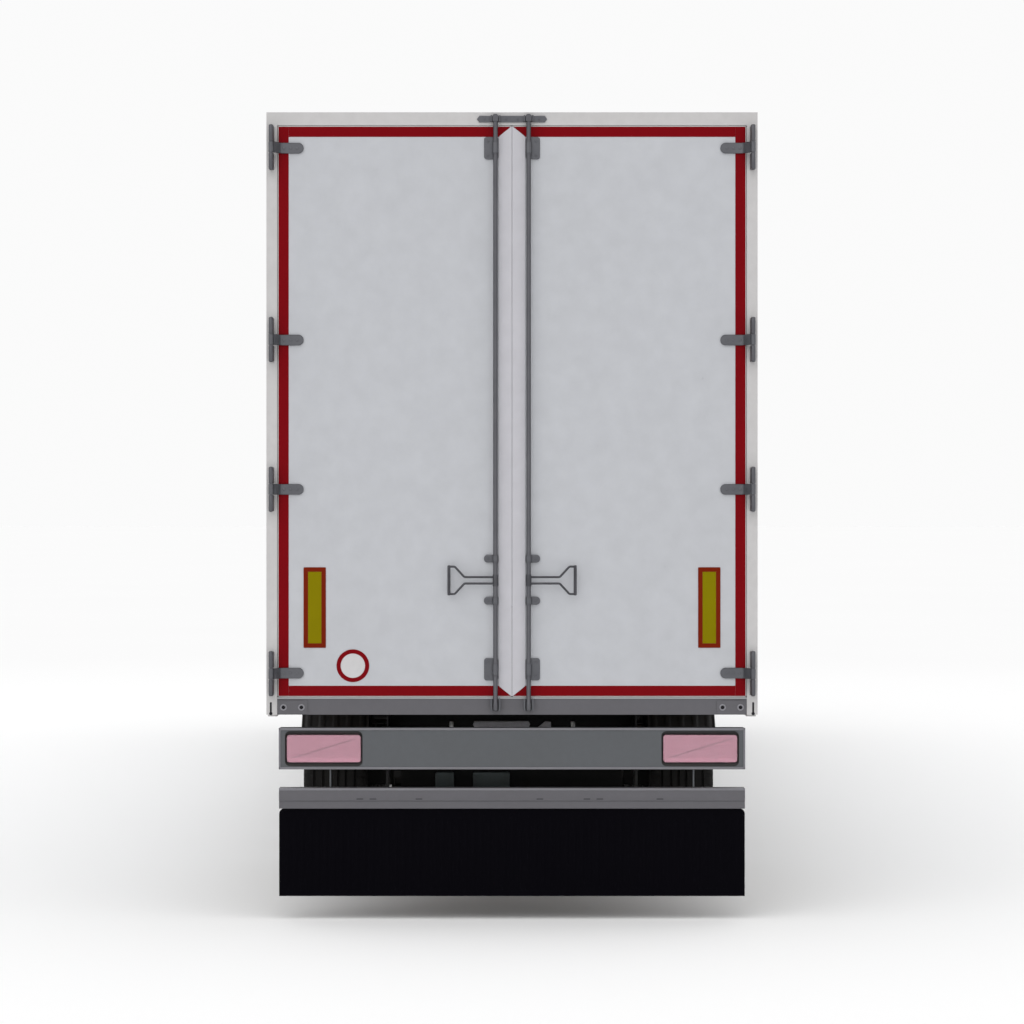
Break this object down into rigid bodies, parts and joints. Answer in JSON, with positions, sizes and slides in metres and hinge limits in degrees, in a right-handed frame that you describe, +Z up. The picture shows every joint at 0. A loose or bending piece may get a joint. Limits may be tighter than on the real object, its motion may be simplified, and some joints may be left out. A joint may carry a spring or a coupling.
{
  "type": "box semi trailer",
  "caption": "Closed box semi trailer with rear doors, bogie of turning wheels, king pin, landing legs and rear under-run bar.",
  "frame": {"origin": "on the ground under the middle of the trailer's bounding box", "axes": "+Y towards the front (travel), +X to the right as seen from behind, +Z up"},
  "size_m": [2.55, 13.673, 4.193],
  "materials": {
    "box": "satin white",
    "frame_paint": "satin white",
    "grey_metal": "satin grey",
    "dark_metal": "satin black",
    "hardware": "galvanised",
    "steel": "machined",
    "lens": "clear pink",
    "flap": "matt black",
    "tyre": "matt black",
    "rim": "satin silver",
    "floor": "coated plywood",
    "plastic": "matt black",
    "bellows": "matt black",
    "tank": "gloss black",
    "guard": "anodised"
  },
  "bodies": {
    "trailer": {"load_floor": "floor", "side_wall_right": "box", "side_wall_left": "box", "front_wall": "box", "front_posts": "frame_paint", "roof_panel": "box", "roof_rails": "frame_paint", "base_rails": "frame_paint", "rear_frame": "frame_paint", "rear_sill": "grey_metal", "hinge_brackets": "hardware", "lock_keepers": "hardware", "light_bar": "grey_metal", "rear_lamps": "lens", "under_run_bar": "grey_metal", "rear_flap": "flap", "main_rails": "dark_metal", "cross_members": "dark_metal", "coupler_plate": "dark_metal", "king_pin": "steel", "axles": "dark_metal", "trailing_arms": "dark_metal", "suspension_hangers": "dark_metal", "air_springs": "bellows", "mudguards": "plastic", "landing_legs": "grey_metal", "leg_brace": "dark_metal", "landing_crank": "hardware", "rear_cross_beam": "dark_metal", "side_guard_right": "guard", "side_guard_left": "guard", "air_tanks": "tank", "coupling_panel": "hardware"},
    "door_right": {"door_panel_right": "box", "door_hinges_right": "hardware", "lock_gear_right": "hardware"},
    "door_left": {"door_panel_left": "box", "door_hinges_left": "hardware", "lock_gear_left": "hardware"},
    "wheel_rear_right": {"tyre_rear_right": "tyre", "rim_rear_right": "rim"},
    "wheel_rear_left": {"tyre_rear_left": "tyre", "rim_rear_left": "rim"},
    "wheel_middle_right": {"tyre_middle_right": "tyre", "rim_middle_right": "rim"},
    "wheel_middle_left": {"tyre_middle_left": "tyre", "rim_middle_left": "rim"},
    "wheel_front_right": {"tyre_front_right": "tyre", "rim_front_right": "rim"},
    "wheel_front_left": {"tyre_front_left": "tyre", "rim_front_left": "rim"}
  },
  "joints": [
    {"name": "door_right_swing", "type": "hinge", "parent": "trailer", "child": "door_right", "pos_m": [1.247, -6.8235, 2.64], "axis": [0, 0, 1], "range_deg": [0, 265]},
    {"name": "door_left_swing", "type": "hinge", "parent": "trailer", "child": "door_left", "pos_m": [-1.247, -6.8235, 2.64], "axis": [0, 0, -1], "range_deg": [0, 265]},
    {"name": "wheel_rear_right_turn", "type": "hinge", "parent": "trailer", "child": "wheel_rear_right", "pos_m": [1.045, -3.8735, 0.498], "axis": [1, 0, 0], "continuous": true},
    {"name": "wheel_rear_left_turn", "type": "hinge", "parent": "trailer", "child": "wheel_rear_left", "pos_m": [-1.045, -3.8735, 0.498], "axis": [1, 0, 0], "continuous": true},
    {"name": "wheel_middle_right_turn", "type": "hinge", "parent": "trailer", "child": "wheel_middle_right", "pos_m": [1.045, -2.5635, 0.498], "axis": [1, 0, 0], "continuous": true},
    {"name": "wheel_middle_left_turn", "type": "hinge", "parent": "trailer", "child": "wheel_middle_left", "pos_m": [-1.045, -2.5635, 0.498], "axis": [1, 0, 0], "continuous": true},
    {"name": "wheel_front_right_turn", "type": "hinge", "parent": "trailer", "child": "wheel_front_right", "pos_m": [1.045, -1.2535, 0.498], "axis": [1, 0, 0], "continuous": true},
    {"name": "wheel_front_left_turn", "type": "hinge", "parent": "trailer", "child": "wheel_front_left", "pos_m": [-1.045, -1.2535, 0.498], "axis": [1, 0, 0], "continuous": true}
  ]
}
